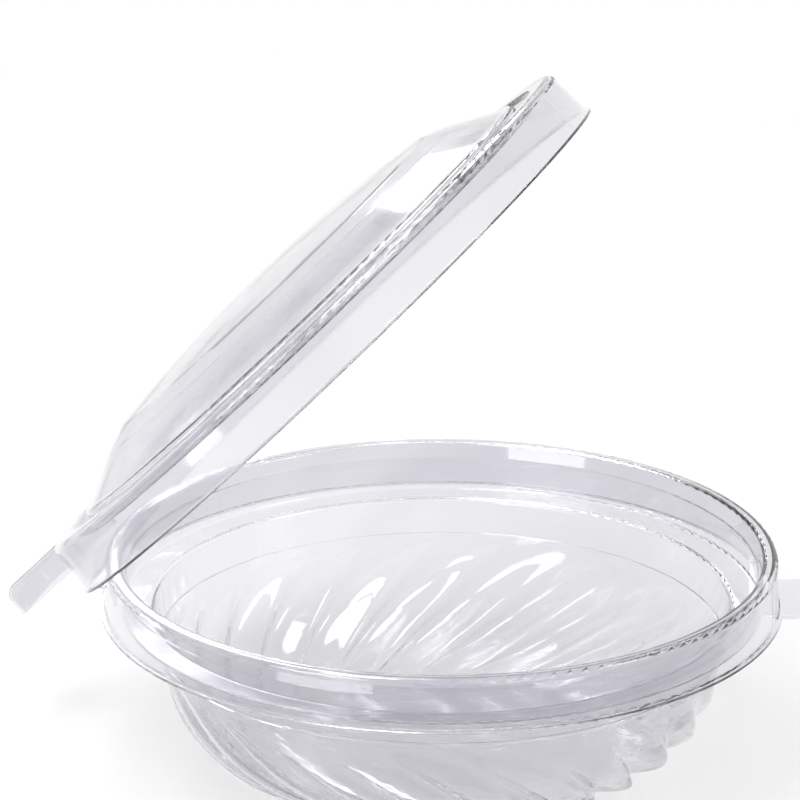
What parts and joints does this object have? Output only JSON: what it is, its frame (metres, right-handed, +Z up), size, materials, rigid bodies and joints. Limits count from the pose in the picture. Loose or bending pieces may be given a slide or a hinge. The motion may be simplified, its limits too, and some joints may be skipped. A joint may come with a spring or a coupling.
{
  "type": "hinged food bowl",
  "caption": "Clear thermoformed round bowl with swirled walls, a raised collar, a finger tab and a shallow domed lid on a film hinge.",
  "frame": {"origin": "middle of the bowl's flat foot", "axes": "+Z up out of the bowl, +X from the hinge towards the opening side, hinge axis along Y"},
  "size_m": [0.1928, 0.1618, 0.1627],
  "materials": {
    "clear_sheet": "clear thermoformed sheet, glossy"
  },
  "bodies": {
    "base": {"bowl": "clear_sheet"},
    "cover": {"lid": "clear_sheet"}
  },
  "joints": [
    {"name": "lid_hinge", "type": "hinge", "parent": "base", "child": "cover", "pos_m": [-0.0832, 0, 0.03815], "axis": [0, -1, 0], "range_deg": [-45.5, 95]}
  ]
}
